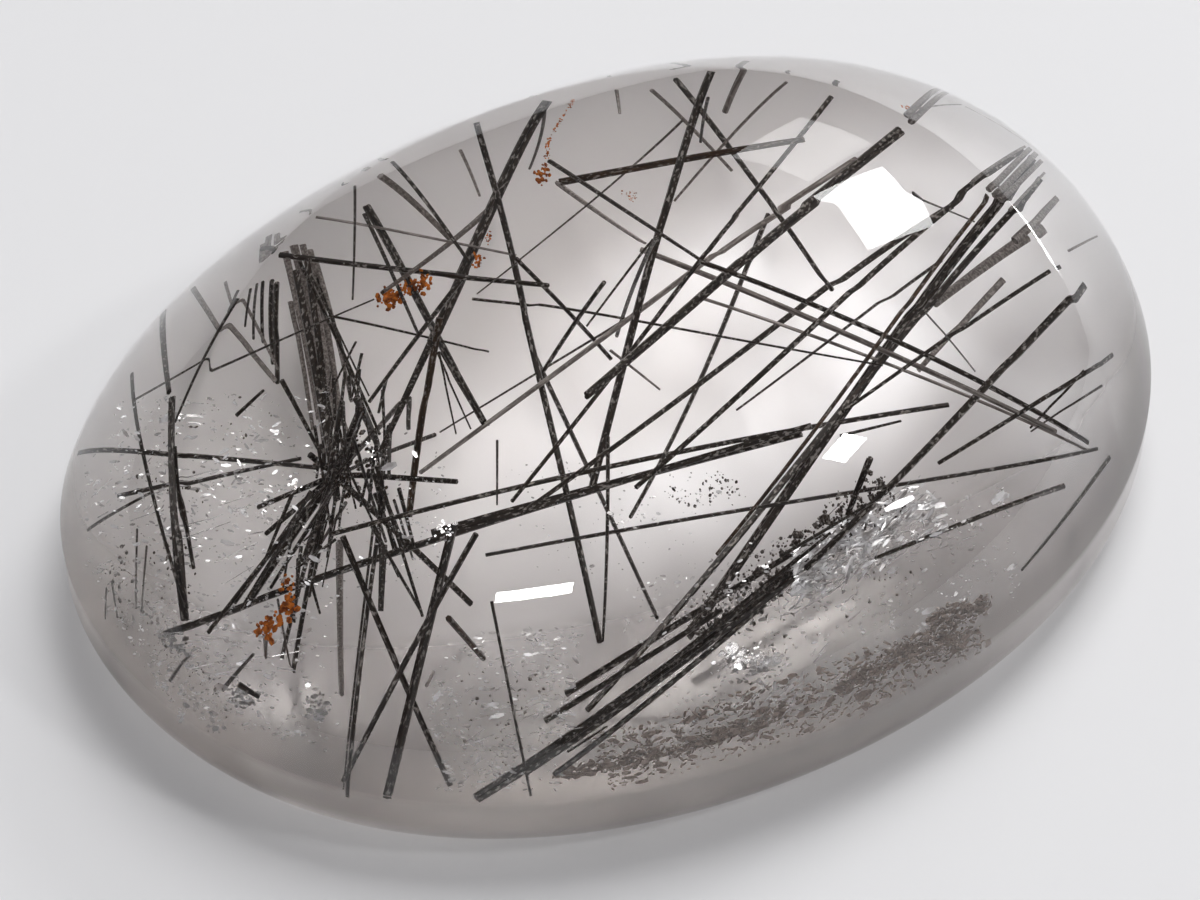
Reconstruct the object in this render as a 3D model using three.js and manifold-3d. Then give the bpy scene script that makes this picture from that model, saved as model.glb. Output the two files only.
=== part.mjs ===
// A polished oval of clear quartz with dark mineral needles grown through it.
// Millimetres, +Z up. The origin is the middle of the flat underside, the long way of the oval is +X.

import * as THREE from "three";
import { mergeVertices } from "three/addons/utils/BufferGeometryUtils.js";
import Module from "manifold-3d";

const wasm = await Module();
wasm.setup();

// The hand-cut outline: an oval with a slight triangular and square unevenness.
const HALF_LENGTH = 19.0;
const HALF_WIDTH = 13.8;
const TRIANGULAR_SHARE = 0.021;
const SQUARE_SHARE = -0.013;

// Heights of the stone: the underside is at 0, the narrow upright wall runs from its foot to the
// girdle, and the crown rises from the girdle to the top.
const WALL_FOOT = 1.65;
const GIRDLE = 2.9;
const CROWN_RISE = 9.2;
const UNDERSIDE_SHARE = 0.91;

// The crown's section is a flattened dome, cut off just before it turns upright.
const CROWN_POWER = 2.15;
const CROWN_REACH = 0.975;

// A low ridge crosses the far side, where two passes of grinding meet. In plan it is part of an oval.
const RIDGE_CENTRE = new THREE.Vector2(-2.4, -8.0);
const RIDGE_HALF_SIZE = new THREE.Vector2(15.5, 17.5);
const RIDGE_TURN = THREE.MathUtils.degToRad(-28);
const RIDGE_LIFT = 0.5;
const RIDGE_FADE = 0.28;
const RIDGE_OUTERMOST = 0.97;

// How finely the polished surface is faceted.
const AROUND = 72;
const RINGS_INSIDE_RIDGE = 7;
const RINGS_OUTSIDE_RIDGE = 5;
const WALL_RINGS = 1;
const UNDERCUT_RINGS = 3;

// The level at which the quartz is opened, so that the needles lie in channels of the two halves.
const PARTING_LEVEL = 5.0;
const CHANNEL_CLEARANCE = 0.07;

const NEEDLE_SIDES = 6;
const NEEDLE_TAPER = 0.85;
const CHANNEL_SIDES = 4;

// Single needles: name, one end, the other end, width.
const NEEDLES = [
  ["heavy_side", [-8.5, -11.2, 3.1], [-0.7, -10.0, 5.5], 0.18],
  ["heavy_lower", [-9.5, -11.2, 3.6], [0.2, -10.2, 6.3], 0.22],
  ["heavy_upper", [-5.8, -6.4, 0.9], [2.5, -8.4, 5.5], 0.2],
  ["heavy_middle", [-7.9, -9.4, 3.6], [-2.3, -10.4, 6.5], 0.2],
  ["diagonal_long", [14.1, -2.6, 3.8], [0.6, -10.5, 6.9], 0.24],
  ["gentle_long", [-16.6, -1.3, 3.6], [2.6, -7.1, 8.8], 0.22],
  ["gentle_short", [-7.4, -1.8, 3.0], [2.8, -5.6, 6.3], 0.22],
  ["gentle_upper", [-12.1, -3.6, 8.3], [8.2, -3.7, 2.2], 0.16],
  ["steep_top", [7.1, 7.0, 8.2], [-3.0, -3.1, 4.0], 0.26],
  ["thick_low", [-5.7, 1.4, 9.1], [-8.3, -2.0, 4.6], 0.24],
  ["long_down", [-0.6, 8.7, 8.5], [-5.4, -8.1, 4.4], 0.22],
  ["down_right", [-1.5, 2.8, 0.9], [-4.1, -9.5, 6.2], 0.14],
  ["comb_bar", [-7.2, 7.8, 3.9], [-2.2, 0.9, 9.0], 0.2],
  ["slant_top", [10.3, 5.6, 4.5], [-6.9, -5.6, 9.0], 0.16],
  ["stub_top", [8.5, 7.2, 6.2], [7.1, 6.3, 4.3], 0.2],
  ["right_inner", [15.2, 0.6, 5.5], [-6.2, -8.7, 2.6], 0.2],
  ["pair_upper", [11.9, 2.8, 0.7], [-6.9, -6.3, 9.3], 0.18],
  ["pair_lower", [15.1, 2.8, 3.3], [-3.4, -7.0, 9.2], 0.2],
  ["sweep", [2.6, 0.2, 5.3], [11.9, -7.0, 2.4], 0.12],
  ["deep_left", [2.7, 0.3, 7.5], [12.0, -6.9, 2.6], 0.18],
  ["deep_right", [2.1, 2.9, 4.2], [10.7, -8.9, 6.1], 0.2],
  ["fork_right", [14.3, -5.8, 4.5], [6.0, -9.4, 7.7], 0.16],
  ["level_right", [12.3, -9.0, 4.5], [-7.3, -4.7, 5.5], 0.12],
  ["low_right", [10.7, -6.2, 0.7], [2.9, -10.8, 6.4], 0.16],
  ["left_long", [-12.6, 7.2, 3.4], [-16.4, -2.0, 5.5], 0.15],
  ["left_level_far", [-15.9, 6.6, 3.2], [-10.6, -0.3, 6.6], 0.16],
  ["left_level_near", [-13.8, 4.6, 1.4], [-10.7, 0.6, 6.0], 0.14],
  ["left_upper", [-10.1, 8.8, 2.0], [-13.7, 4.4, 7.4], 0.26],
  ["low_cross", [-11.5, -3.4, 7.5], [-10.5, -8.3, 1.2], 0.22],
  ["low_fork_left", [-9.4, -2.3, 6.9], [-14.1, -8.3, 2.1], 0.14],
  ["low_fork_right", [-8.4, -6.1, 8.9], [-13.6, -7.3, 1.7], 0.18],
  ["upper_thin", [-2.8, 9.0, 4.4], [-3.2, 4.0, 6.3], 0.14],
  ["middle_slant", [-2.4, 2.6, 8.3], [-0.6, 0.0, 4.4], 0.14],
  ["middle_steep", [-0.4, 0.6, 8.1], [-2.4, 0.7, 4.0], 0.14],
  ["comb_second", [-10.1, 5.7, 9.4], [-9.5, 5.5, 4.7], 0.1],
  ["comb_third", [-9.4, 6.1, 7.9], [-9.3, 5.3, 4.7], 0.12],
  ["comb_fourth", [-9.2, 5.9, 8.1], [-9.2, 4.8, 4.2], 0.16],
  ["comb_fifth", [-8.3, 6.5, 5.6], [-8.6, 5.2, 2.0], 0.16],
  ["cross_long", [10.2, 4.8, 0.9], [-8.8, -3.3, 8.9], 0.18],
  ["center_long", [6.9, 4.1, 0.9], [-3.7, -7.1, 8.0], 0.14],
  ["right_cross", [13.3, -1.9, 4.0], [3.9, -6.6, 8.1], 0.14],
  ["top_slant", [7.1, 8.6, 1.2], [6.2, -1.2, 5.6], 0.2],
  ["brown_cross", [-0.2, 7.5, 0.6], [-7.1, 2.7, 10.2], 0.18],
  ["upper_fine", [-5.8, 8.3, 4.4], [-1.7, 3.8, 5.7], 0.1],
  ["right_strand", [12.7, 0.7, 4.6], [-1.8, -9.1, 7.4], 0.14],
  ["left_branch", [-14.7, 2.2, 7.8], [-14.9, -0.3, 4.6], 0.15],
  ["low_center", [-10.1, -7.5, 7.4], [-8.7, -7.1, 4.4], 0.2],
  ["low_fine", [-8.3, -6.9, 6.5], [-9.3, -11.2, 2.5], 0.1],
];

// Stout needles that are a few strands grown side by side: name, one end, the other end, width, strands.
const BUNDLES = [
  ["heavy", [-10.7, -10.3, 2.3], [2.7, -9.1, 5.9], 0.38, 3],
  ["right", [15.8, 1.5, 5.8], [-1.8, -6.1, 0.8], 0.32, 3],
  ["top_bar", [1.2, 6.1, 4.2], [8.1, 3.2, 7.7], 0.26, 2],
  ["top_thick", [2.2, 8.6, 6.7], [-4.9, 3.0, 4.3], 0.36, 2],
  ["upper_wide", [-4.2, 8.0, 3.8], [-6.4, -2.8, 9.3], 0.26, 3],
  ["deep_wide", [11.7, 4.5, 2.7], [-3.4, -3.8, 10.0], 0.32, 2],
  ["left_thick", [-12.9, 4.6, 5.9], [-16.2, -1.8, 4.6], 0.28, 2],
  ["low_thick", [-8.1, -4.2, 6.8], [-13.0, -8.9, 2.2], 0.38, 2],
  ["right_stub", [4.1, -7.9, 7.2], [2.6, -7.9, 4.2], 0.3, 2],
];
const PAIR_STRAND_SHARE = 0.62;
const TRIPLE_STRAND_SHARE = 0.54;
const STRAND_LEAN = 0.5;

// The spray of needles that cross in one knot: the knot's place, and for each needle its far end, its width
// and how far it runs on past the knot.
const KNOT_CENTRE = [-9.8, 0.0, 5.2];
const KNOT_RADIUS = 0.4;
const SPRAY = [
  [[-7.4, 6.8, 4.9], 0.26, 0.9],
  [[-6.9, 7.0, 4.8], 0.24, 0],
  [[-14.3, -2.7, 5.5], 0.32, 1.1],
  [[-15.9, -2.7, 4.8], 0.16, 0],
  [[-12.7, -0.3, 6.1], 0.18, 0.6],
  [[-13.2, -1.6, 6.7], 0.2, 0.9],
  [[-7.7, -3.6, 8.0], 0.2, 0],
  [[-6.7, -2.7, 0.8], 0.2, 1.2],
  [[-12.2, -2.5, 1.1], 0.16, 0],
  [[-5.2, 1.8, 1.2], 0.14, 1.1],
  [[-12.8, -2.7, 2.0], 0.14, 0],
  [[-9.2, -0.1, 8.5], 0.26, 0.9],
  [[-5.6, 3.3, 1.1], 0.18, 1.3],
];

// The stone's outline in plan, at an angle that runs round from +X towards +Y.
function outlineAt(angle) {
  const uneven = 1 + TRIANGULAR_SHARE * Math.sin(3 * angle) + SQUARE_SHARE * Math.cos(4 * angle);
  return new THREE.Vector2(
    HALF_LENGTH * uneven * Math.cos(angle),
    HALF_WIDTH * uneven * Math.sin(angle),
  );
}

// How far out the ridge lies in one direction, as a share of the way from the middle to the outline.
function ridgeShareAt(angle) {
  const origin = new THREE.Vector2();
  const out = outlineAt(angle).rotateAround(origin, -RIDGE_TURN).divide(RIDGE_HALF_SIZE);
  const centre = RIDGE_CENTRE.clone().rotateAround(origin, -RIDGE_TURN).divide(RIDGE_HALF_SIZE);
  const a = out.dot(out);
  const b = out.dot(centre);
  const c = centre.dot(centre) - 1;
  return (b + Math.sqrt(b * b - a * c)) / a;
}

// The crown's height at a share of the way out: the dome, raised a little towards the ridge.
function crownHeight(share, ridgeShare, lift) {
  const section = (s) => Math.sqrt(1 - (CROWN_REACH * s) ** CROWN_POWER);
  const dome = (section(share) - section(1)) / (1 - section(1));
  const towardsRidge =
    share <= ridgeShare ? (share / ridgeShare) ** 2 : ((1 - share) / (1 - ridgeShare)) ** 2;
  return GIRDLE + CROWN_RISE * dome + lift * towardsRidge;
}

// Every ring lists one point for each direction, from near the top round to the underside.
function stoneRings() {
  const directions = Array.from({ length: AROUND }, (_, i) => {
    const angle = (i / AROUND) * 2 * Math.PI;
    const ridge = ridgeShareAt(angle);
    return {
      edge: outlineAt(angle),
      ridgeShare: Math.min(ridge, RIDGE_OUTERMOST),
      lift: RIDGE_LIFT * THREE.MathUtils.clamp((1 - ridge) / RIDGE_FADE, 0, 1),
    };
  });
  const ring = (shareAt, heightAt) =>
    directions.map((direction) => {
      const share = shareAt(direction);
      return [direction.edge.x * share, direction.edge.y * share, heightAt(direction, share)];
    });
  const onCrown = (direction, share) => crownHeight(share, direction.ridgeShare, direction.lift);
  const rings = [];
  for (let i = 1; i <= RINGS_INSIDE_RIDGE; i++) {
    const part = Math.sin((i / RINGS_INSIDE_RIDGE) * (Math.PI / 2));
    rings.push(ring((direction) => direction.ridgeShare * part, onCrown));
  }
  for (let i = 1; i <= RINGS_OUTSIDE_RIDGE; i++) {
    const part = Math.sin((i / RINGS_OUTSIDE_RIDGE) * (Math.PI / 2));
    rings.push(ring((direction) => direction.ridgeShare + (1 - direction.ridgeShare) * part, onCrown));
  }
  for (let i = 1; i <= WALL_RINGS; i++) {
    const height = THREE.MathUtils.lerp(GIRDLE, WALL_FOOT, i / WALL_RINGS);
    rings.push(ring(() => 1, () => height));
  }
  for (let i = 1; i <= UNDERCUT_RINGS; i++) {
    const turn = (i / UNDERCUT_RINGS) * (Math.PI / 2);
    const share = THREE.MathUtils.lerp(UNDERSIDE_SHARE, 1, Math.cos(turn));
    rings.push(ring(() => share, () => WALL_FOOT * (1 - Math.sin(turn))));
  }
  return rings;
}

// A closed skin over the rings, with one point at the top and one under the middle.
function stoneGeometry() {
  const rings = stoneRings();
  const points = [[0, 0, GIRDLE + CROWN_RISE], ...rings.flat(), [0, 0, 0]];
  const last = points.length - 1;
  const at = (ringIndex, i) => 1 + ringIndex * AROUND + (i % AROUND);
  const faces = [];
  for (let i = 0; i < AROUND; i++) {
    faces.push(0, at(0, i), at(0, i + 1));
    faces.push(last, at(rings.length - 1, i + 1), at(rings.length - 1, i));
    for (let r = 0; r < rings.length - 1; r++) {
      faces.push(at(r, i), at(r + 1, i), at(r + 1, i + 1));
      faces.push(at(r, i), at(r + 1, i + 1), at(r, i + 1));
    }
  }
  const geometry = new THREE.BufferGeometry();
  geometry.setAttribute("position", new THREE.Float32BufferAttribute(points.flat(), 3));
  geometry.setIndex(faces);
  return geometry;
}

// A closed geometry becomes a solid that can be joined and cut.
function toSolid(geometry) {
  const bare = geometry.clone();
  bare.deleteAttribute("normal");
  bare.deleteAttribute("uv");
  const merged = mergeVertices(bare);
  return new wasm.Manifold(
    new wasm.Mesh({
      numProp: 3,
      vertProperties: new Float32Array(merged.attributes.position.array),
      triVerts: new Uint32Array(merged.index.array),
    }),
  );
}

function toGeometry(solid) {
  const mesh = solid.getMesh();
  const geometry = new THREE.BufferGeometry();
  geometry.setAttribute("position", new THREE.Float32BufferAttribute(mesh.vertProperties, 3));
  geometry.setIndex(Array.from(mesh.triVerts));
  geometry.computeVertexNormals();
  return geometry;
}

// The place and turn of a prism that stands along the line between two ends.
function alongLine(start, end) {
  const from = new THREE.Vector3(...start);
  const to = new THREE.Vector3(...end);
  const direction = to.clone().sub(from).normalize();
  return {
    middle: from.clone().add(to).multiplyScalar(0.5),
    length: from.distanceTo(to),
    turn: new THREE.Quaternion().setFromUnitVectors(new THREE.Vector3(0, 1, 0), direction),
  };
}

// A needle crystal is a slim six-sided prism, a little thinner at its far end.
function needlePrism(length, width) {
  const radius = width / 2;
  return new THREE.CylinderGeometry(radius * NEEDLE_TAPER, radius, length, NEEDLE_SIDES);
}

// The channel that a needle lies in is a square prism which clears it all round.
function channelPrism(length, width) {
  const toCorner = 1 / Math.cos(Math.PI / CHANNEL_SIDES);
  return new THREE.CylinderGeometry(
    ((width / 2) * NEEDLE_TAPER + CHANNEL_CLEARANCE) * toCorner,
    (width / 2 + CHANNEL_CLEARANCE) * toCorner,
    length + 2 * CHANNEL_CLEARANCE,
    CHANNEL_SIDES,
  );
}

function inPlace(prism, line) {
  return prism.applyMatrix4(
    new THREE.Matrix4().compose(line.middle, line.turn, new THREE.Vector3(1, 1, 1)),
  );
}

function needleSolid(start, end, width) {
  const line = alongLine(start, end);
  return toSolid(inPlace(needlePrism(line.length, width), line));
}

function channelSolid(start, end, width) {
  const line = alongLine(start, end);
  return toSolid(inPlace(channelPrism(line.length, width), line));
}

// The strands of a bundle lie side by side round its line, and lean across one another a little.
function bundleSolid(start, end, width, strands) {
  const line = alongLine(start, end);
  const strandWidth = width * (strands === 2 ? PAIR_STRAND_SHARE : TRIPLE_STRAND_SHARE);
  const offset = (width - strandWidth) / 2;
  const side = (turn) =>
    new THREE.Vector3(Math.cos(turn) * offset, 0, Math.sin(turn) * offset).applyQuaternion(line.turn);
  let solid = null;
  for (let i = 0; i < strands; i++) {
    const angle = (i / strands) * 2 * Math.PI;
    const strandStart = new THREE.Vector3(...start).add(side(angle));
    const strandEnd = new THREE.Vector3(...end).add(side(angle + STRAND_LEAN));
    const strand = needleSolid(strandStart.toArray(), strandEnd.toArray(), strandWidth);
    solid = solid === null ? strand : solid.add(strand);
  }
  return solid;
}

// The knot is a rough lump, and every needle of the spray passes through it.
function knotSolid(room = 0) {
  return toSolid(new THREE.IcosahedronGeometry(KNOT_RADIUS + room).translate(...KNOT_CENTRE));
}

function sprayStart(tip, tail) {
  const knot = new THREE.Vector3(...KNOT_CENTRE);
  const outward = new THREE.Vector3(...tip).sub(knot).normalize();
  return knot.addScaledVector(outward, -tail).toArray();
}

function spraySolid() {
  return SPRAY.reduce(
    (solid, [tip, width, tail]) => solid.add(needleSolid(sprayStart(tip, tail), tip, width)),
    knotSolid(),
  );
}

function sprayChannels() {
  return SPRAY.reduce(
    (solid, [tip, width, tail]) => solid.add(channelSolid(sprayStart(tip, tail), tip, width)),
    knotSolid(CHANNEL_CLEARANCE),
  );
}

function quartzMaterial() {
  return new THREE.MeshStandardMaterial({
    color: 0xd6cfd0,
    roughness: 0.03,
    metalness: 0,
    transparent: true,
    opacity: 0.35,
  });
}

function needleMaterial() {
  return new THREE.MeshStandardMaterial({ color: 0x1d1813, roughness: 0.35, metalness: 0.1 });
}

const group = new THREE.Group();

function addPiece(name, geometry, material) {
  const piece = new THREE.Mesh(geometry, material);
  piece.name = name;
  group.add(piece);
  return piece;
}

// The needles, each in its channel.
let channels = sprayChannels();
addPiece("needle_spray", toGeometry(spraySolid()), needleMaterial());

for (const [name, start, end, width] of NEEDLES) {
  const line = alongLine(start, end);
  const needle = addPiece(`needle_${name}`, needlePrism(line.length, width), needleMaterial());
  needle.position.copy(line.middle);
  needle.quaternion.copy(line.turn);
  channels = channels.add(channelSolid(start, end, width));
}

for (const [name, start, end, width, strands] of BUNDLES) {
  addPiece(`needle_${name}`, toGeometry(bundleSolid(start, end, width, strands)), needleMaterial());
  channels = channels.add(channelSolid(start, end, width));
}

// The quartz, opened at the parting level, with the channels cut out of both halves.
const stone = toSolid(stoneGeometry());
const below = new THREE.BoxGeometry(4 * HALF_LENGTH, 4 * HALF_WIDTH, 2 * PARTING_LEVEL);
const lowerSpace = toSolid(below);
addPiece("quartz_upper", toGeometry(stone.subtract(lowerSpace).subtract(channels)), quartzMaterial());
addPiece("quartz_lower", toGeometry(stone.intersect(lowerSpace).subtract(channels)), quartzMaterial());

export default group;
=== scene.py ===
from math import acos, atan2, cos, pi, radians, sin

import bpy
import numpy as np
from mathutils import Matrix, Quaternion, Vector


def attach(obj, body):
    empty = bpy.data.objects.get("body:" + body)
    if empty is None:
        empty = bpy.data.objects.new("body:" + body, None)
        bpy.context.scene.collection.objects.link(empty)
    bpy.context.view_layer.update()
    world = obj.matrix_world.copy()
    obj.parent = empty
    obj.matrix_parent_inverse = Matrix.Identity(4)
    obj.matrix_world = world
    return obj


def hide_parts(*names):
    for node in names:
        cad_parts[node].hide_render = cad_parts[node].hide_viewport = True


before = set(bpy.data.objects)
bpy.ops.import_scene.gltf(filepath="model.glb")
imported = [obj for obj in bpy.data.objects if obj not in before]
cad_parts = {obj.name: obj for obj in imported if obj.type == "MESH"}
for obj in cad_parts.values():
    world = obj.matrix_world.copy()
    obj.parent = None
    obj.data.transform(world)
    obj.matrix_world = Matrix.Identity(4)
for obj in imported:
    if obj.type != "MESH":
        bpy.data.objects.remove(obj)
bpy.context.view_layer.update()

# The stone: one natural piece of clear, faintly lilac-grey quartz. It is ground by hand to a domed oval
# with a low ridge across the far side, and polished all over. The underside is flat.

MM = 0.001
HALF_LENGTH = 19.0
HALF_WIDTH = 13.8
TRIANGULAR_SHARE = 0.021
SQUARE_SHARE = -0.013
WALL_FOOT = 1.65
GIRDLE = 2.9
CROWN_RISE = 9.2
UNDERSIDE_SHARE = 0.91
CROWN_POWER = 2.15
CROWN_REACH = 0.975
RIDGE_CENTRE = (-2.4, -8.0)
RIDGE_HALF_SIZE = (15.5, 17.5)
RIDGE_TURN = radians(-28)
RIDGE_LIFT = 0.5
RIDGE_FADE = 0.28
RIDGE_OUTERMOST = 0.97
RIDGE_ROUNDING = 0.16

AROUND = 288
RINGS_INSIDE = 34
RINGS_OUTSIDE = 24
RINGS_WALL = 4
RINGS_UNDERCUT = 12
RINGS_BELOW = 3

REFRACTIVE = 1.544
TINT = (0.70, 0.57, 0.48)
TINT_DENSITY = 23.0
GROUND_ROUGHNESS = 0.3
GROUND_FULLY_TO = 0.2
GROUND_UP_TO = 0.5

way = np.arange(AROUND) / AROUND * 2 * pi
uneven = 1 + TRIANGULAR_SHARE * np.sin(3 * way) + SQUARE_SHARE * np.cos(4 * way)
edge = np.stack([HALF_LENGTH * uneven * np.cos(way), HALF_WIDTH * uneven * np.sin(way)], axis=1)

turned = np.array([[cos(RIDGE_TURN), sin(RIDGE_TURN)], [-sin(RIDGE_TURN), cos(RIDGE_TURN)]])
out = edge @ turned.T / RIDGE_HALF_SIZE
centre = turned @ np.array(RIDGE_CENTRE) / RIDGE_HALF_SIZE
a = (out * out).sum(axis=1)
b = out @ centre
ridge = (b + np.sqrt(b * b - a * (centre @ centre - 1))) / a
lift = RIDGE_LIFT * np.clip((1 - ridge) / RIDGE_FADE, 0, 1)
ridge = np.minimum(ridge, RIDGE_OUTERMOST)
rounding = RIDGE_ROUNDING / np.linalg.norm(edge, axis=1)


def crown_section(share):
    return np.sqrt(1 - (CROWN_REACH * share) ** CROWN_POWER)


def crown_height(share):
    """The dome with its lift towards the ridge, which is rounded over a little to both sides."""
    dome = (crown_section(share) - crown_section(1)) / (1 - crown_section(1))
    rise = np.where(share <= ridge, (share / ridge) ** 2, ((1 - share) / (1 - ridge)) ** 2)
    bend = 2 / ridge + 2 / (1 - ridge)
    near = np.clip(rounding - np.abs(share - ridge), 0, None)
    return GIRDLE + CROWN_RISE * dome + lift * (rise - bend * near**2 / (4 * rounding))


def stone_ring(share, height):
    return np.column_stack([edge * np.reshape(share, (-1, 1)), np.broadcast_to(height, AROUND)])


rings = []
for i in range(1, RINGS_INSIDE + 1):
    share = ridge * sin(i / RINGS_INSIDE * pi / 2)
    rings.append(stone_ring(share, crown_height(share)))
for i in range(1, RINGS_OUTSIDE + 1):
    part = (1 - cos(i / RINGS_OUTSIDE * pi)) / 2
    share = ridge + (1 - ridge) * part
    rings.append(stone_ring(share, crown_height(share)))
for i in range(1, RINGS_WALL + 1):
    rings.append(stone_ring(np.ones(AROUND), GIRDLE + (WALL_FOOT - GIRDLE) * i / RINGS_WALL))
for i in range(1, RINGS_UNDERCUT + 1):
    turn = i / RINGS_UNDERCUT * pi / 2
    share = UNDERSIDE_SHARE + (1 - UNDERSIDE_SHARE) * cos(turn)
    rings.append(stone_ring(np.full(AROUND, share), WALL_FOOT * (1 - sin(turn))))
for i in range(1, RINGS_BELOW + 1):
    share = UNDERSIDE_SHARE * (1 - i / (RINGS_BELOW + 1))
    rings.append(stone_ring(np.full(AROUND, share), 0.0))

LEVELS = len(rings) + 1
bpy.ops.object.select_all(action="DESELECT")
bpy.ops.mesh.primitive_uv_sphere_add(segments=AROUND, ring_count=LEVELS, radius=1)
quartz = bpy.context.object
quartz.name = "quartz"
for vertex in quartz.data.vertices:
    level = round(acos(max(-1, min(1, vertex.co.z))) / pi * LEVELS)
    if level == 0:
        vertex.co = (0, 0, (GIRDLE + CROWN_RISE) * MM)
    elif level == LEVELS:
        vertex.co = (0, 0, 0)
    else:
        bearing = round(atan2(vertex.co.y, vertex.co.x) / (2 * pi) * AROUND) % AROUND
        vertex.co = Vector(rings[level - 1][bearing]) * MM
bpy.ops.object.shade_smooth()

quartz_look = bpy.data.materials.new("clear_quartz")
quartz_look.use_nodes = True
nodes, links = quartz_look.node_tree.nodes, quartz_look.node_tree.links
shader = nodes["Principled BSDF"]
shader.inputs["Base Color"].default_value = (1, 1, 1, 1)
shader.inputs["IOR"].default_value = REFRACTIVE
shader.inputs["Transmission Weight"].default_value = 1.0
absorption = nodes.new("ShaderNodeVolumeAbsorption")
absorption.inputs["Color"].default_value = (*TINT, 1)
absorption.inputs["Density"].default_value = TINT_DENSITY
links.new(absorption.outputs["Volume"], nodes["Material Output"].inputs["Volume"])
place = nodes.new("ShaderNodeTexCoord")
height = nodes.new("ShaderNodeSeparateXYZ")
links.new(place.outputs["Object"], height.inputs["Vector"])
ground = nodes.new("ShaderNodeMapRange")
ground.inputs["From Min"].default_value = GROUND_FULLY_TO * MM
ground.inputs["From Max"].default_value = GROUND_UP_TO * MM
ground.inputs["To Min"].default_value = GROUND_ROUGHNESS
ground.inputs["To Max"].default_value = 0.0
links.new(height.outputs["Z"], ground.inputs["Value"])
links.new(ground.outputs["Result"], shader.inputs["Roughness"])
quartz.data.materials.append(quartz_look)
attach(quartz, "root")
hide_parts("quartz_upper", "quartz_lower")

# The needles: straight crystals of a black-brown mineral, which the quartz grew round. They are striped
# along their length, with a dull metallic lustre and light flecks. Those deep in the stone look greyer.

DARK = (0.018, 0.014, 0.011)
DARK_BROWN = (0.030, 0.019, 0.012)
BROWN = (0.075, 0.042, 0.022)
GREY = (0.36, 0.33, 0.31)
DARK_GREY = (0.15, 0.13, 0.12)
FLECK = (0.64, 0.60, 0.56)
FEW_FLECKS, SOME_FLECKS, MANY_FLECKS = 0.3, 0.4, 0.5
STRIPES_PER_METRE = 16000
STRIPES_DRAWN_OUT = (1.0, 1.0, 0.06)
FLECKS_PER_METRE = 11000
FLECKS_DRAWN_OUT = (1.0, 1.0, 0.45)
FLECK_FROM, FLECK_FULL = 0.55, 0.66
DARK_STRIPE_TO, LIGHT_STRIPE_FROM = 0.42, 0.66
NEEDLE_ROUGHNESS = 0.38
NEEDLE_LUSTRE = 0.15
GREY_NEEDLES = ("deep_right", "stub_top", "upper_fine", "sweep", "cross_long")
BROWN_NEEDLES = ("brown_cross", "right_strand", "low_center", "top_bar", "thick_low")

stripes = bpy.data.node_groups.new("needle_stripes", "ShaderNodeTree")
stripes.interface.new_socket("Along", in_out="INPUT", socket_type="NodeSocketVector")
stripes.interface.new_socket("Stripe", in_out="OUTPUT", socket_type="NodeSocketFloat")
stripes.interface.new_socket("Fleck", in_out="OUTPUT", socket_type="NodeSocketFloat")
inside = stripes.nodes.new("NodeGroupInput")
outside = stripes.nodes.new("NodeGroupOutput")
stretch = stripes.nodes.new("ShaderNodeMapping")
stretch.inputs["Scale"].default_value = STRIPES_DRAWN_OUT
stripes.links.new(inside.outputs["Along"], stretch.inputs["Vector"])
lines = stripes.nodes.new("ShaderNodeTexNoise")
lines.inputs["Scale"].default_value = STRIPES_PER_METRE
stripes.links.new(stretch.outputs["Vector"], lines.inputs["Vector"])
stripes.links.new(lines.outputs["Fac"], outside.inputs["Stripe"])
drawn_out = stripes.nodes.new("ShaderNodeMapping")
drawn_out.inputs["Scale"].default_value = FLECKS_DRAWN_OUT
stripes.links.new(inside.outputs["Along"], drawn_out.inputs["Vector"])
flecks = stripes.nodes.new("ShaderNodeTexNoise")
flecks.inputs["Scale"].default_value = FLECKS_PER_METRE
flecks.inputs["Detail"].default_value = 3
stripes.links.new(drawn_out.outputs["Vector"], flecks.inputs["Vector"])
few = stripes.nodes.new("ShaderNodeMapRange")
few.inputs["From Min"].default_value = FLECK_FROM
few.inputs["From Max"].default_value = FLECK_FULL
stripes.links.new(flecks.outputs["Fac"], few.inputs["Value"])
stripes.links.new(few.outputs["Result"], outside.inputs["Fleck"])


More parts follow.
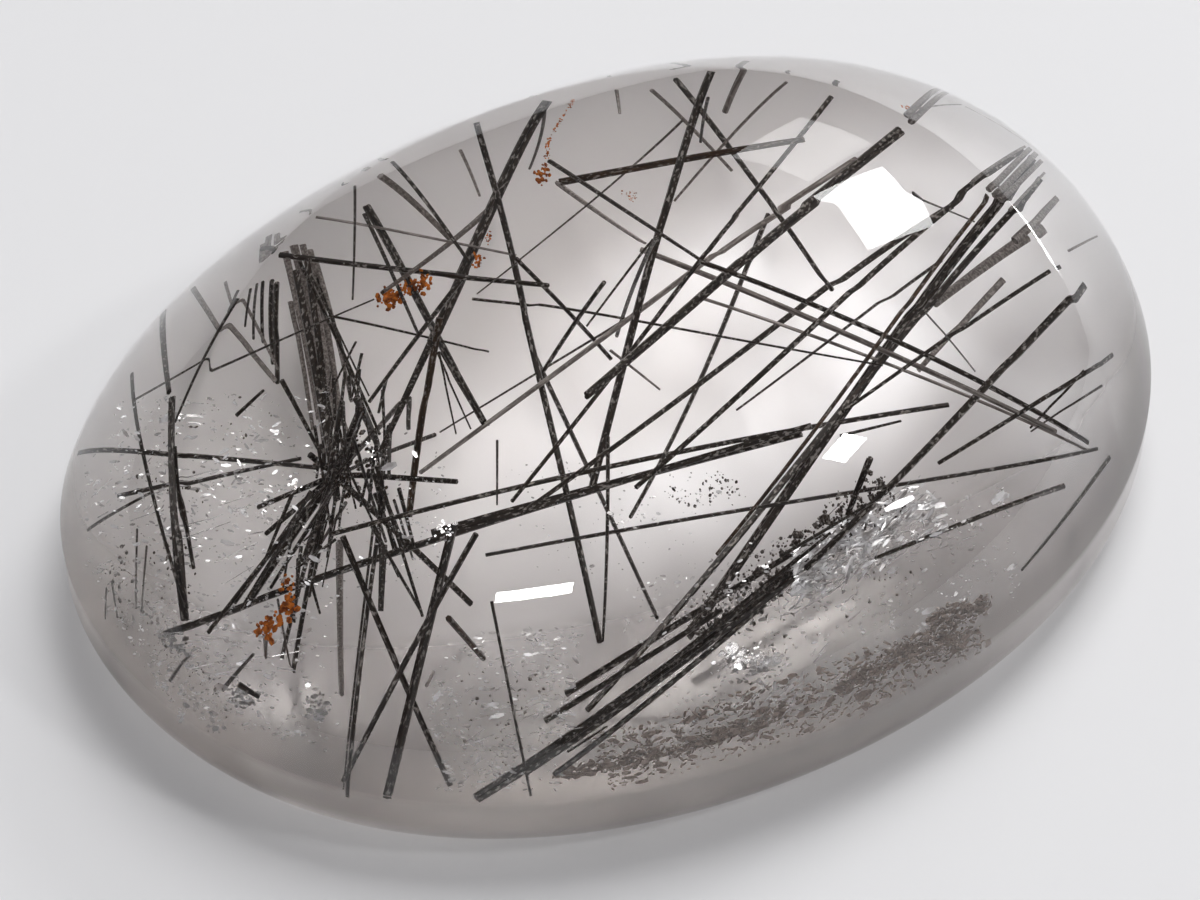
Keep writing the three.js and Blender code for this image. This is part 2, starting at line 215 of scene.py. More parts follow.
def needle_look(name, dark, light, fleck_strength, along=None):
    """A dark striped mineral. along turns the stripes to the needle's own line."""
    look = bpy.data.materials.new(name)
    look.use_nodes = True
    nodes, links = look.node_tree.nodes, look.node_tree.links
    shader = nodes["Principled BSDF"]
    place = nodes.new("ShaderNodeTexCoord")
    turn = nodes.new("ShaderNodeMapping")
    if along is not None:
        turn.inputs["Rotation"].default_value = along.rotation_difference(Vector((0, 0, 1))).to_euler()
    links.new(place.outputs["Object"], turn.inputs["Vector"])
    striped = nodes.new("ShaderNodeGroup")
    striped.node_tree = stripes
    links.new(turn.outputs["Vector"], striped.inputs["Along"])
    tones = nodes.new("ShaderNodeValToRGB")
    tones.color_ramp.elements[0].position = DARK_STRIPE_TO
    tones.color_ramp.elements[0].color = (*dark, 1)
    tones.color_ramp.elements[1].position = LIGHT_STRIPE_FROM
    tones.color_ramp.elements[1].color = (*light, 1)
    links.new(striped.outputs["Stripe"], tones.inputs["Fac"])
    amount = nodes.new("ShaderNodeMath")
    amount.operation = "MULTIPLY"
    amount.inputs[1].default_value = fleck_strength
    links.new(striped.outputs["Fleck"], amount.inputs[0])
    speckled = nodes.new("ShaderNodeMix")
    speckled.data_type = "RGBA"
    speckled.inputs["B"].default_value = (*FLECK, 1)
    links.new(amount.outputs["Value"], speckled.inputs["Factor"])
    links.new(tones.outputs["Color"], speckled.inputs["A"])
    links.new(speckled.outputs["Result"], shader.inputs["Base Color"])
    shader.inputs["Roughness"].default_value = NEEDLE_ROUGHNESS
    shader.inputs["Metallic"].default_value = NEEDLE_LUSTRE
    return look


for name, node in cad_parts.items():
    if name.startswith("needle_"):
        points = np.array([v.co for v in node.data.vertices])
        spread = points - points.mean(axis=0)
        line = Vector(np.linalg.svd(spread, full_matrices=False)[2][0])
        short = name.removeprefix("needle_")
        if short in GREY_NEEDLES:
            look = needle_look(name + "_look", DARK_GREY, GREY, FEW_FLECKS, line)
        elif short in BROWN_NEEDLES:
            look = needle_look(name + "_look", DARK_BROWN, BROWN, SOME_FLECKS, line)
        else:
            look = needle_look(name + "_look", DARK, DARK_BROWN, MANY_FLECKS, line)
        node.data.materials.clear()
        node.data.materials.append(look)

# The fine needles: thinner crystals of the same mineral, from a third of a millimetre down to hair-thin,
# alone or beside the stout ones. Each is a slim six-sided prism that tapers to its far end.

FINE_SIDES = 6
FINE_TAPER = 0.7
FINE_FLECKS = 0.35

# The name, the two ends and the width of each.
FINE_NEEDLES = [
    ("top_strand", (2.6, 8.9, 3.8), (-0.5, 5.3, 9.3), 0.12),
    ("thick_branch", (-4.7, 2.0, 9.9), (-9.1, -0.4, 9.3), 0.18),
    ("down_partner", (-2.3, -2.9, 5.7), (-6.2, -10.1, 6.9), 0.12),
    ("upper_wide_left", (-4.9, 7.3, 5.7), (-6.5, 1.2, 8.9), 0.15),
    ("fan_first", (-6.6, -0.2, 10.1), (-7.2, -2.6, 8.9), 0.08),
    ("fan_second", (-5.6, 1.5, 6.6), (-5.5, -0.6, 5.1), 0.07),
    ("fan_third", (-5.6, 1.3, 6.9), (-6.1, -2.3, 8.2), 0.08),
    ("fan_fourth", (-4.2, 3.4, 2.3), (-5.2, -1.1, 5.8), 0.07),
    ("upper_vertical", (-4.6, 8.5, 5.8), (-7.4, 3.8, 8.1), 0.09),
    ("upper_level", (-8.8, 3.0, 9.7), (-4.3, 0.6, 6.8), 0.09),
    ("middle_thin", (1.9, 1.7, 7.4), (-1.4, -0.1, 7.1), 0.09),
    ("steep_short", (6.2, 5.7, 8.7), (5.7, 5.4, 4.9), 0.12),
    ("steep_left", (1.4, 0.6, 9.9), (0.6, 1.9, 1.8), 0.15),
    ("slant_fine", (6.3, 7.3, 1.9), (-4.3, 1.6, 9.2), 0.07),
    ("cross_parallel", (2.2, 2.7, 1.1), (-6.1, 0.1, 4.4), 0.07),
    ("right_thin", (10.5, 0.7, 1.8), (1.1, -4.8, 7.5), 0.09),
    ("deep_left_upper", (0.7, 6.0, 7.1), (2.1, -0.9, 10.3), 0.17),
    ("fork_thin", (12.8, -6.2, 4.9), (10.2, -5.6, 2.6), 0.09),
    ("fork_thinner", (13.3, -5.7, 3.3), (9.8, -8.4, 6.0), 0.08),
    ("right_rim", (12.7, -7.2, 2.0), (7.9, -11.7, 3.9), 0.15),
    ("gentle_end", (3.3, -7.7, 8.6), (5.4, -7.9, 8.4), 0.12),
    ("low_vertical", (-6.0, -3.0, 8.2), (-7.2, -5.2, 8.5), 0.08),
    ("heavy_small", (-8.1, -11.4, 4.1), (-6.3, -10.3, 3.4), 0.09),
    ("knot_long", (-8.1, 6.1, 8.0), (-7.4, 1.4, 3.6), 0.12),
    ("knot_thick", (-8.9, 0.6, 7.9), (-7.9, 0.6, 4.4), 0.28),
    ("knot_band", (-6.6, 0.3, 10.0), (-9.7, -2.3, 9.4), 0.28),
    ("knot_short", (-7.4, 0.0, 7.6), (-7.9, -1.0, 7.5), 0.18),
    ("knot_left", (-12.2, -1.3, 7.6), (-14.1, -2.9, 7.4), 0.15),
    ("knot_stub", (-13.1, -2.2, 2.5), (-15.1, -4.9, 5.5), 0.14),
    ("knot_down", (-9.8, -2.3, 8.7), (-10.6, -6.8, 7.0), 0.15),
    ("knot_dark", (-10.9, -4.8, 8.4), (-11.8, -6.3, 7.4), 0.24),
    ("left_small", (-16.6, 3.7, 3.0), (-13.7, 3.4, 3.0), 0.12),
    ("left_dash", (-12.3, 2.2, 7.6), (-11.1, 2.6, 7.5), 0.15),
    ("left_fine_long", (-12.1, 6.5, 2.1), (-7.1, 3.1, 9.0), 0.07),
    ("left_speckled", (-9.0, 4.5, 3.5), (-8.5, 2.9, 1.8), 0.15),
    ("left_low_first", (-17.2, -2.5, 3.0), (-15.8, -1.9, 3.0), 0.12),
    ("left_low_second", (-15.1, -2.9, 2.1), (-15.4, -4.6, 5.5), 0.15),
    ("left_low_third", (-15.8, -4.5, 4.2), (-15.3, -5.0, 3.9), 0.21),
    ("middle_fine", (-2.4, 5.0, 1.5), (6.1, -4.8, 6.8), 0.09),
    ("right_fine_first", (7.9, -5.2, 9.4), (9.2, -4.2, 3.9), 0.08),
    ("right_fine_second", (10.7, 2.0, 3.5), (12.2, 2.0, 1.0), 0.08),
    ("specks_first", (-13.7, 3.5, 1.2), (-16.6, 0.3, 3.1), 0.08),
    ("specks_second", (-13.6, 3.0, 1.0), (-17.3, -0.6, 4.3), 0.08),
    ("specks_third", (-16.5, 2.0, 2.1), (-18.2, 0.5, 3.2), 0.08),
    ("specks_fourth", (-15.3, 2.7, 0.9), (-15.8, 1.7, 0.8), 0.08),
    ("comb_long", (-8.3, 5.0, 8.8), (-9.2, -0.5, 9.9), 0.08),
    ("low_thin", (-8.1, 0.1, 1.5), (-14.1, -8.1, 2.3), 0.08),
    ("left_thin", (-12.5, -1.8, 3.3), (-14.6, -5.6, 5.6), 0.08),
    ("bundle_eighth", (-12.9, -2.4, 7.5), (-15.2, -3.4, 6.3), 0.12),
    ("bundle_second", (-9.3, 2.1, 0.7), (-12.7, 0.1, 1.3), 0.15),
    ("stream_eighth", (-12.3, -2.1, 7.6), (-8.7, -0.4, 7.5), 0.09),
    ("bundle_first", (-12.1, -2.2, 8.9), (-14.8, -3.4, 6.7), 0.15),
    ("stream_third", (-10.7, 0.1, 8.5), (-11.2, -2.4, 6.1), 0.12),
    ("bundle_fifth", (-9.3, 1.0, 1.3), (-12.1, -2.4, 0.8), 0.12),
    ("stream_tenth", (-6.2, 7.1, 2.4), (-7.5, 2.2, 3.4), 0.12),
    ("bundle_third", (-10.7, -1.1, 5.8), (-13.3, -2.4, 5.0), 0.15),
    ("stream_first", (-8.6, 2.6, 3.4), (-9.1, 1.2, 0.7), 0.15),
    ("bundle_fourth", (-11.4, -2.4, 8.7), (-11.9, -0.6, 2.1), 0.12),
    ("bundle_sixth", (-10.8, -1.5, 8.2), (-11.7, -1.7, 4.4), 0.15),
    ("stream_second", (-9.4, 0.7, 8.1), (-10.8, -1.1, 5.8), 0.15),
    ("bundle_seventh", (-9.1, 0.1, 3.1), (-11.7, -2.3, 5.5), 0.12),
    ("stream_fifth", (-10.9, -2.3, 9.5), (-9.8, -4.0, 5.2), 0.09),
    ("stream_fourth", (-10.2, -1.4, 9.4), (-8.9, -1.8, 3.6), 0.12),
    ("pale_long", (-10.8, -3.9, 8.2), (-10.8, -7.1, 7.6), 0.12),
    ("stream_sixth", (-9.6, -1.8, 7.7), (-9.8, -3.7, 6.0), 0.12),
    ("stream_seventh", (-8.0, -0.7, 3.5), (-7.5, -1.0, 1.0), 0.09),
    ("heavy_strand_first", (-8.3, -11.3, 4.4), (-2.9, -11.1, 6.3), 0.12),
    ("heavy_strand_second", (-6.2, -11.3, 5.5), (-1.1, -10.9, 7.1), 0.15),
    ("heavy_strand_fifth", (-4.3, -10.1, 4.7), (0.7, -9.8, 6.7), 0.12),
    ("heavy_strand_third", (-2.9, -10.2, 5.5), (1.6, -10.4, 7.9), 0.15),
    ("heavy_strand_fourth", (-0.8, -7.9, 3.2), (3.6, -8.4, 5.9), 0.18),
    ("heavy_strand_sixth", (-0.2, -10.4, 7.8), (3.7, -9.8, 7.8), 0.12),
    ("left_slant", (-10.8, 5.6, 9.2), (-14.3, 3.0, 7.9), 0.16),
    ("left_slant_top", (-10.3, 6.1, 8.4), (-10.9, 5.5, 8.3), 0.14),
    ("comb_first", (-10.3, 5.7, 9.2), (-10.3, 5.2, 6.9), 0.10),
]
GREY_FINE_NEEDLES = [
    ("long_down_side", (-0.7, 8.5, 3.8), (-1.3, 6.6, 4.5), 0.12),
    ("upper_thin_partner", (-3.5, 8.6, 4.8), (-2.3, 6.5, 2.4), 0.26),
    ("middle_grey", (-0.5, 0.2, 4.5), (0.1, -1.6, 4.7), 0.09),
    ("top_slant_grey", (5.5, 7.7, 5.2), (6.4, 5.0, 2.7), 0.15),
    ("slant_grey", (9.2, 6.1, 6.1), (4.6, 5.3, 1.3), 0.10),
    ("deep_right_upper", (1.8, 7.2, 1.1), (2.2, 2.8, 4.8), 0.17),
    ("low_brown", (-11.4, -8.5, 6.0), (-10.2, -6.8, 4.3), 0.12),
    ("knot_grey", (-7.5, 5.5, 3.7), (-8.5, 2.2, 4.3), 0.16),
    ("knot_blurred", (-9.8, -0.8, 2.9), (-13.6, -7.1, 5.3), 0.22),
    ("left_grey_band", (-10.6, 8.7, 5.7), (-9.6, 4.0, 4.7), 0.20),
    ("left_grey_thin", (-9.3, 7.4, 5.4), (-9.6, 4.0, 5.4), 0.12),
    ("right_blurred", (11.6, -2.2, 4.8), (7.5, -3.8, 4.3), 0.20),
    ("right_wide", (13.3, 0.4, 2.3), (9.3, -1.4, 3.4), 0.30),
    ("grey_short", (4.7, 8.3, 4.6), (4.2, 7.4, 4.7), 0.12),
    ("stream_ninth", (-6.6, 7.2, 1.3), (-7.7, 2.7, 2.3), 0.15),
    ("deep_bundle_first", (-6.8, 8.0, 3.2), (-8.2, 3.5, 2.2), 0.22),
    ("deep_bundle_second", (-6.3, 8.2, 2.6), (-7.9, 3.4, 1.8), 0.26),
    ("deep_bundle_third", (-6.2, 8.0, 3.0), (-8.0, 2.8, 2.4), 0.20),
    ("deep_bundle_fourth", (-5.9, 8.0, 2.2), (-7.5, 3.3, 1.6), 0.24),
    ("deep_bundle_fifth", (-7.2, 6.6, 3.6), (-8.7, 2.4, 3.0), 0.16),
    ("deep_bundle_sixth", (-6.0, 7.5, 2.4), (-7.4, 3.1, 3.0), 0.16),
    ("deep_bundle_seventh", (-7.1, 7.0, 2.0), (-8.2, 3.7, 1.4), 0.16),
    ("outer_band_first", (12.6, -1.1, 8.6), (16.3, 2.1, 5.7), 0.24),
    ("outer_band_second", (12.7, -1.2, 8.2), (16.4, 2.0, 5.4), 0.26),
    ("outer_band_third", (12.8, -1.5, 8.4), (16.3, 1.5, 5.6), 0.22),
    ("outer_thin_upper", (12.2, -0.9, 9.2), (16.1, 2.0, 6.1), 0.13),
    ("outer_thin_lower", (12.9, -2.0, 8.5), (15.9, 0.6, 6.2), 0.12),
    ("outer_deep_first", (11.6, 2.5, 8.9), (14.7, 5.4, 5.9), 0.26),
    ("outer_deep_second", (11.6, 2.2, 8.9), (15.0, 5.3, 5.7), 0.24),
    ("outer_cross_first", (12.0, 2.8, 8.8), (14.7, 3.9, 6.8), 0.09),
    ("outer_cross_second", (14.8, 3.8, 6.8), (16.5, 2.5, 5.4), 0.08),
    ("outer_blurred", (12.5, -2.5, 7.3), (15.5, -0.5, 6.0), 0.30),
    ("outer_low", (14.4, -3.0, 6.6), (16.6, -1.6, 4.9), 0.09),
]


def fine_needle(start, end, width):
    """One slim prism along the line between two ends, in millimetres."""
    start, end = Vector(start), Vector(end)
    line = end - start
    bpy.ops.object.select_all(action="DESELECT")
    bpy.ops.mesh.primitive_cone_add(
        vertices=FINE_SIDES,
        radius1=width / 2 * MM,
        radius2=width / 2 * FINE_TAPER * MM,
        depth=line.length * MM,
        end_fill_type="TRIFAN",
    )
    needle = bpy.context.object
    turn = Vector((0, 0, 1)).rotation_difference(line).to_matrix().to_4x4()
    needle.data.transform(Matrix.Translation((start + end) / 2 * MM) @ turn)
    return needle


def joined(pieces, name):
    bpy.ops.object.select_all(action="DESELECT")
    for piece in pieces:
        piece.select_set(True)
    bpy.context.view_layer.objects.active = pieces[0]
    bpy.ops.object.join()
    pieces[0].name = name
    return pieces[0]


fine = joined([fine_needle(a, b, w) for _, a, b, w in FINE_NEEDLES], "fine_needles")
fine.data.materials.append(needle_look("fine_needle_look", DARK, DARK_BROWN, FINE_FLECKS))
grey_fine = joined([fine_needle(a, b, w) for _, a, b, w in GREY_FINE_NEEDLES], "grey_fine_needles")
grey_fine.data.materials.append(needle_look("grey_needle_look", DARK_GREY, GREY, FINE_FLECKS))
for piece in (fine, grey_fine):
    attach(piece, "root")

# The tangle at the knot: many short needles of the same mineral, which cross round the knot of the spray,
# with rough dark grains grown on them.

# Where each stream of short needles starts and ends, and how many it has.
TANGLE_STREAMS = [
    ((-8.6, 2.2, 7.4), (-9.9, -0.6, 6.8), 16),
    ((-9.9, -0.4, 6.9), (-12.9, -3.4, 5.4), 22),
    ((-8.2, 0.6, 8.4), (-9.6, -3.2, 6.4), 12),
]
TANGLE_TURN = 0.28
TANGLE_SPREAD = 0.32
TANGLE_HALF_LENGTHS = (0.4, 1.3)
TANGLE_WIDTHS = (0.05, 0.15)
TANGLE_FLECKS = 0.45
GRAINS_CENTRE = (-9.6, -0.7, 6.1)
GRAINS_SPREAD = (0.5, 0.6, 0.5)
GRAINS = 46
GRAIN_RADII = (0.04, 0.13)
GRAIN_FLECKS = 0.6
LUMP_STRETCH = (0.55, 1.25)
chance = np.random.default_rng(41)

tangle = []
for start, end, count in TANGLE_STREAMS:
    stream = (Vector(end) - Vector(start)).normalized()
    for _ in range(count):
        line = stream + Vector(chance.normal(0, TANGLE_TURN, 3))
        half = line.normalized() * chance.uniform(*TANGLE_HALF_LENGTHS)
        middle = Vector(start).lerp(Vector(end), chance.uniform(0, 1))
        middle += Vector(chance.normal(0, TANGLE_SPREAD, 3))
        tangle.append(fine_needle(middle - half, middle + half, chance.uniform(*TANGLE_WIDTHS)))
tangle = joined(tangle, "knot_needles")
tangle.data.materials.append(needle_look("knot_needle_look", DARK, DARK_BROWN, TANGLE_FLECKS))


def in_spread(centre, spread):
    return Vector(centre) + Vector(chance.normal(0, 1, 3) * spread)


def scattered(pattern, places, name):
    """Copies of one small shape, each with its own mesh, joined to one piece."""
    copies = []
    for place in places:
        copy = pattern.copy()
        copy.data = pattern.data.copy()
        copy.data.transform(place)
        bpy.context.collection.objects.link(copy)
        copies.append(copy)
    bpy.data.objects.remove(pattern)
    return joined(copies, name)


def lump_pattern():
    bpy.ops.object.select_all(action="DESELECT")
    bpy.ops.mesh.primitive_ico_sphere_add(subdivisions=1, radius=1)
    return bpy.context.object


def lump_place(middle, radius):
    """A lump that is a little longer one way than the others, turned at random."""
    turn = Quaternion(Vector(chance.normal(0, 1, 3)).normalized(), chance.uniform(0, pi)).to_matrix().to_4x4()
    stretch = Matrix.Diagonal((*(radius * chance.uniform(*LUMP_STRETCH, 3) * MM), 1))
    return Matrix.Translation(middle * MM) @ turn @ stretch


grains = [
    lump_place(in_spread(GRAINS_CENTRE, GRAINS_SPREAD), chance.uniform(*GRAIN_RADII))
    for _ in range(GRAINS)
]
grains = scattered(lump_pattern(), grains, "knot_grains")
grains.data.materials.append(needle_look("grain_look", DARK, BROWN, GRAIN_FLECKS))
for piece in (tangle, grains):
    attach(piece, "root")

# The rust-orange crusts: small matt crumbs of iron oxide. They have grown on the needles in a few clusters
# and along one thread.

# The name, the two ends, the radius of a crumb, the number of crumbs and how far they spread.
CRUSTS = [
    ("thread", (2.7, 8.0, 7.6), (1.1, 6.7, 7.6), 0.036, 55, 0.03),
    ("thread_lower", (1.1, 6.7, 7.6), (0.2, 5.5, 7.7), 0.0432, 46, 0.04),
    ("thread_end", (0.2, 5.5, 7.7), (-0.1, 5.3, 7.7), 0.0792, 29, 0.12),
    ("bar_left", (-6.4, 3.6, 7.4), (-6.1, 3.5, 7.4), 0.0936, 42, 0.14),
    ("bar_middle", (-6.1, 3.6, 7.4), (-5.0, 3.5, 7.6), 0.072, 63, 0.14),
    ("bar_end", (-5.3, 3.1, 7.7), (-5.0, 3.6, 7.7), 0.072, 25, 0.10),
    ("crossing", (-3.5, 3.1, 7.9), (-3.2, 3.4, 7.9), 0.0576, 25, 0.08),
    ("crossing_upper", (-2.8, 3.7, 7.9), (-2.5, 4.1, 7.9), 0.036, 21, 0.05),
    ("low_left", (-14.2, -3.4, 4.6), (-13.7, -3.4, 4.8), 0.108, 50, 0.14),
    ("low_right", (-13.5, -3.5, 5.1), (-13.1, -3.4, 5.4), 0.101, 42, 0.13),
    ("low_rise", (-13.2, -3.1, 5.4), (-12.9, -2.7, 5.6), 0.072, 21, 0.08),
    ("far_right", (11.7, 3.3, 7.5), (12.1, 3.2, 7.5), 0.0504, 21, 0.06),
    ("faint", (2.3, 4.3, 6.0), (2.6, 3.9, 6.0), 0.0288, 25, 0.10),
]
CRUMB_SIZES = (0.5, 1.2)
RUST_DARK, RUST_DARK_TO = (0.22, 0.055, 0.008), 0.38
RUST_LIGHT, RUST_LIGHT_FROM = (0.72, 0.21, 0.025), 0.6
RUST_MOTTLE_PER_METRE = 4000
RUST_ROUGHNESS = 0.85

crumbs = []
for _, start, end, radius, count, spread in CRUSTS:
    for share in chance.uniform(0, 1, count):
        middle = Vector(start).lerp(Vector(end), share)
        crumbs.append(lump_place(in_spread(middle, spread), radius * chance.uniform(*CRUMB_SIZES)))
crusts = scattered(lump_pattern(), crumbs, "iron_oxide_crusts")


def mottled_look(name, dark, dark_to, light, light_from, per_metre, roughness, metallic=0.0):
    """A mineral mottled from a dark to a light tone."""
    look = bpy.data.materials.new(name)
    look.use_nodes = True
    nodes, links = look.node_tree.nodes, look.node_tree.links
    shader = nodes["Principled BSDF"]
    place = nodes.new("ShaderNodeTexCoord")
    mottle = nodes.new("ShaderNodeTexNoise")
    mottle.inputs["Scale"].default_value = per_metre
    links.new(place.outputs["Object"], mottle.inputs["Vector"])
    tones = nodes.new("ShaderNodeValToRGB")
    tones.color_ramp.elements[0].position = dark_to
    tones.color_ramp.elements[0].color = (*dark, 1)
    tones.color_ramp.elements[1].position = light_from
    tones.color_ramp.elements[1].color = (*light, 1)
    links.new(mottle.outputs["Fac"], tones.inputs["Fac"])
    links.new(tones.outputs["Color"], shader.inputs["Base Color"])
    shader.inputs["Roughness"].default_value = roughness
    shader.inputs["Metallic"].default_value = metallic
    return look


crusts.data.materials.append(mottled_look(
    "iron_oxide_look", RUST_DARK, RUST_DARK_TO, RUST_LIGHT, RUST_LIGHT_FROM,
    RUST_MOTTLE_PER_METRE, RUST_ROUGHNESS,
))
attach(crusts, "root")

# The veils: thin sheets in the quartz where old cracks have healed. Each holds tiny glinting flakes, in
# clumps, and is bent between four corners. The whitest one lies beside the heavy needle like scales.

# The name, four corners, the number of flakes and of clumps, and a flake's width and its length in widths.
VEILS = [
    (
        "left_far",
        (-15.1, 7.0, 4.0), (-9.8, 1.3, 7.8), (-12.0, -2.9, 6.2), (-17.3, 2.6, 3.3),
        760, 40, 0.042, 3.2,
    ),
    (
        "left_near",
        (-17.4, 2.4, 3.2), (-11.7, -3.2, 6.3), (-13.8, -6.9, 3.3), (-16.9, -3.0, 2.0),
        900, 50, 0.042, 2.6,
    ),
    (
        "low_middle",
        (-10.1, -6.5, 5.6), (-6.4, -8.5, 5.6), (-8.2, -11.1, 2.6), (-11.5, -9.5, 2.5),
        600, 36, 0.038, 3.0,
    ),
    (
        "near_right",
        (-4.7, -8.2, 6.1), (7.9, -8.7, 5.2), (7.3, -11.6, 2.4), (-3.9, -11.9, 2.9),
        760, 50, 0.038, 2.6,
    ),
    (
        "knot",
        (-13.2, 1.4, 6.4), (-7.4, -1.9, 8.6), (-8.9, -5.0, 6.2), (-13.6, -3.2, 5.2),
        320, 26, 0.03, 2.2,
    ),
    (
        "centre",
        (-6.0, -3.5, 7.6), (0.4, -6.5, 7.0), (-0.4, -8.6, 6.0), (-6.4, -6.6, 6.4),
        160, 20, 0.03, 1.8,
    ),
    (
        "scales",
        (0.9, -9.2, 6.2), (5.6, -8.4, 6.1), (5.6, -9.7, 5.1), (0.2, -10.4, 5.2),
        1000, 60, 0.05, 5.0,
    ),
]
CLUMP_SIZE = 0.11
CLUMP_SIZES = (0.4, 1.6)
PAST_EDGE = 0.02
OFF_SHEET = 0.096
FLAKE_SIDES = 6
FLAKE_THICKNESS = 0.02
FLAKE_LOG_SIZES = (-0.1, 0.55)
FLAKE_TILT = 0.45
FLAKE_TURN = 0.35
FACING_SHARE = 0.45
GLINT_SPREAD = 0.11
VIEWED_FROM = (-118, 50)
LIT_FROM = (42, 60)
LIT_SIDE = 0.35
RIM_RISE = 0.02
FLAKE_DARK, FLAKE_DARK_TO = (0.55, 0.53, 0.52), 0.35
FLAKE_LIGHT, FLAKE_LIGHT_FROM = (0.97, 0.97, 0.98), 0.55
FLAKE_MOTTLE_PER_METRE = 2500
FLAKE_ROUGHNESS = 0.25
FLAKE_LUSTRE = 0.4


def direction(azimuth, elevation):
    """A direction from the stone: azimuth runs from +X towards +Y, in degrees."""
    azimuth, elevation = radians(azimuth), radians(elevation)
    return Vector((cos(elevation) * cos(azimuth), cos(elevation) * sin(azimuth), sin(elevation)))


def in_quartz(outside, dome):
    """A direction outside the dome, as it goes on in the quartz under that place of the dome."""
    share = outside.dot(dome)
    steeper = (1 - (1 - share**2) / REFRACTIVE**2) ** 0.5
    return (outside - share * dome) / REFRACTIVE + steeper * dome


def facing(place):
    """The way a flake faces that sends the light from above to the viewer."""
    x, y = place[0] / HALF_LENGTH, place[1] / HALF_WIDTH
    up = max(1 - x * x - y * y, RIM_RISE) ** 0.5
    dome = Vector((x / HALF_LENGTH, y / HALF_WIDTH, up / CROWN_RISE)).normalized()
    light = direction(*LIT_FROM)
    lit_dome = dome if light.dot(dome) > LIT_SIDE else Vector((0, 0, 1))
    return in_quartz(direction(*VIEWED_FROM), dome) + in_quartz(light, lit_dome)


def sheet_point(corners, u, v):
    first, second, third, fourth = (Vector(c) for c in corners)
    return first.lerp(second, u).lerp(fourth.lerp(third, u), v)


def clumped(corners, count, clumps):
    """Places on a sheet, in clumps."""
    middles = chance.uniform(0, 1, (clumps, 2))
    sizes = chance.uniform(*CLUMP_SIZES, clumps)
    for _ in range(count):
        clump = chance.integers(clumps)
        offset = chance.normal(0, CLUMP_SIZE * sizes[clump], 2)
        u, v = np.clip(middles[clump] + offset, -PAST_EDGE, 1 + PAST_EDGE)
        yield in_spread(sheet_point(corners, u, v), OFF_SHEET)


def flake_place(corners, middle, size, longer, turned=None):
    """A flake lies roughly in its sheet, or glints, with its long way along the sheet's first side."""
    along = (Vector(corners[1]) - Vector(corners[0])).normalized()
    across = (Vector(corners[3]) - Vector(corners[0])).normalized()
    if turned is None:
        normal = along.cross(across).normalized() + Vector(chance.normal(0, FLAKE_TILT, 3))
    else:
        normal = facing(middle).normalized() + Vector(chance.normal(0, turned, 3))
    along = along + Vector(chance.normal(0, FLAKE_TURN, 3))
    normal.normalize()
    side = normal.cross(along).normalized()
    along = side.cross(normal)
    turn = Matrix((along, side, normal)).transposed().to_4x4()
    size = size * chance.lognormal(*FLAKE_LOG_SIZES)
    return Matrix.Translation(middle * MM) @ turn @ Matrix.Diagonal((size * longer * MM, size * MM, MM, 1))


def flake_pattern():
    bpy.ops.object.select_all(action="DESELECT")
    bpy.ops.mesh.primitive_cylinder_add(vertices=FLAKE_SIDES, radius=0.5, depth=FLAKE_THICKNESS)
    return bpy.context.object


flakes = []
for _, *corners, count, clumps, size, longer in VEILS:
    for middle in clumped(corners, count, clumps):
        turned = GLINT_SPREAD if chance.uniform() < FACING_SHARE else None
        flakes.append(flake_place(corners, middle, size, longer, turned))
flakes = scattered(flake_pattern(), flakes, "veil_flakes")
flakes.data.materials.append(mottled_look(
    "flake_look", FLAKE_DARK, FLAKE_DARK_TO, FLAKE_LIGHT, FLAKE_LIGHT_FROM,
    FLAKE_MOTTLE_PER_METRE, FLAKE_ROUGHNESS, FLAKE_LUSTRE,
))
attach(flakes, "root")

# The bright films: places where a healed crack mirrors the light like foil. They are built of flakes of
# the same kind that nearly all face the same way.

# The name, four corners, the number of flakes and their width.
FILMS = [
    ("smear", (-3.2, -10.7, 5.1), (-1.8, -10.7, 5.1), (-0.5, -11.6, 4.6), (-2.1, -11.9, 4.4), 170, 0.09),
    ("bluish", (-14.1, -5.6, 4.4), (-13.3, -6.0, 4.5), (-13.8, -7.1, 4.0), (-14.8, -6.6, 3.8), 60, 0.07),
    ("cream", (-16.1, -4.0, 3.7), (-15.2, -4.5, 3.9), (-15.4, -5.1, 3.6), (-16.3, -4.7, 3.3), 50, 0.07),
    ("rim_streak", (-17.1, -0.6, 3.9), (-16.7, -0.6, 4.1), (-16.4, -2.5, 3.9), (-16.7, -2.6, 3.7), 70, 0.07),
    ("crystals", (-9.1, -3.9, 7.0), (-8.4, -3.9, 7.1), (-7.9, -4.5, 7.0), (-8.8, -4.6, 6.9), 24, 0.07),
    ("strip_right", (-9.6, -0.7, 7.8), (-9.3, -0.7, 7.8), (-9.1, -1.8, 7.6), (-9.4, -1.9, 7.6), 14, 0.06),
    ("strip_left", (-11.6, 0.1, 6.3), (-11.3, 0.1, 6.4), (-11.3, -0.6, 6.3), (-11.5, -0.6, 6.2), 10, 0.06),
]
FILM_CROWDING = 0.24
FILM_OFF_SHEET = 0.05
FILM_LONGER = 1.4
FILM_TURNED = 0.06
RIM_FILM = ((-17.6, -3.0, 3.4), (-16.9, -3.4, 3.6), (-16.6, -5.0, 3.0), (-17.1, -4.8, 2.7))
RIM_FLAKES = 70
RIM_FLAKE_SIZE = 0.06
RIM_OFF_SHEET = 0.04
RIM_TURNED = 0.3
FILM_LUSTRE = 0.8

